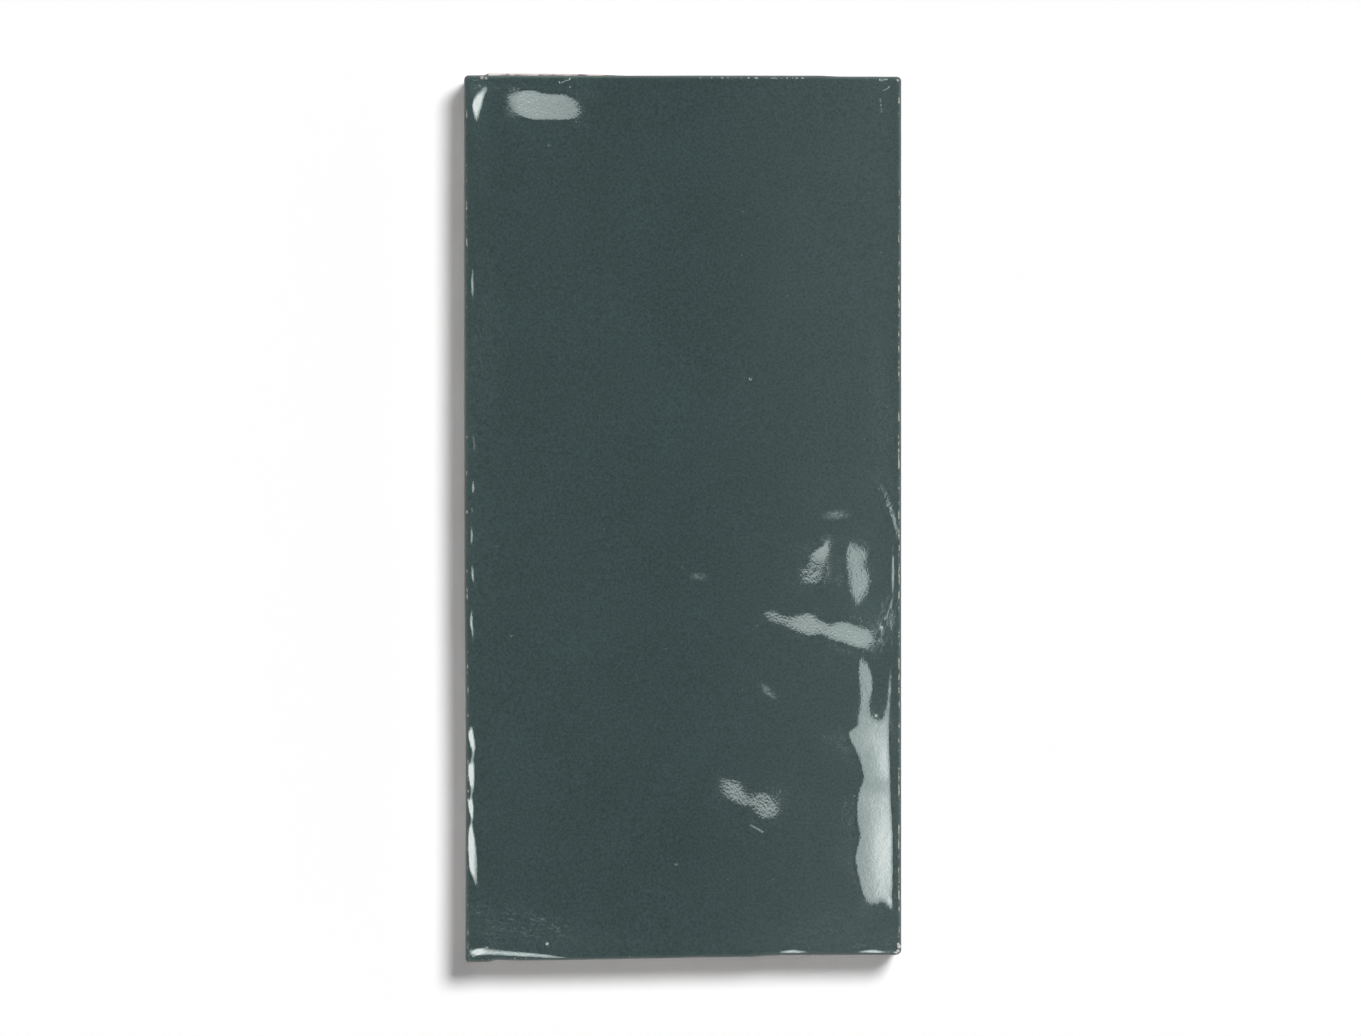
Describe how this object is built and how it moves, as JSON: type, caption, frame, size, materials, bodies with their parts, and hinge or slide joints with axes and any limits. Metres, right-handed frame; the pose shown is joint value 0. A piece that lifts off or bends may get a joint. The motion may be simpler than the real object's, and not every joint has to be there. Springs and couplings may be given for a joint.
{
  "type": "wall tile",
  "caption": "Rectangular glazed ceramic wall tile with an uneven, pillowed, glossy dark green face, softened rims and a keyed back for adhesive.",
  "frame": {"origin": "under the middle of the tile, on the plane that its back rests on", "axes": "+X across the tile, +Y along its length, +Z out of the glazed face"},
  "size_m": [0.0742, 0.151, 0.0092],
  "materials": {
    "glazed_ceramic": "deep petrol green gloss glaze, thinner and paler at the rims, over a pinkish fired clay body that shows on the sides and back"
  },
  "bodies": {
    "root": {"wall_tile": "glazed_ceramic"}
  },
  "joints": []
}
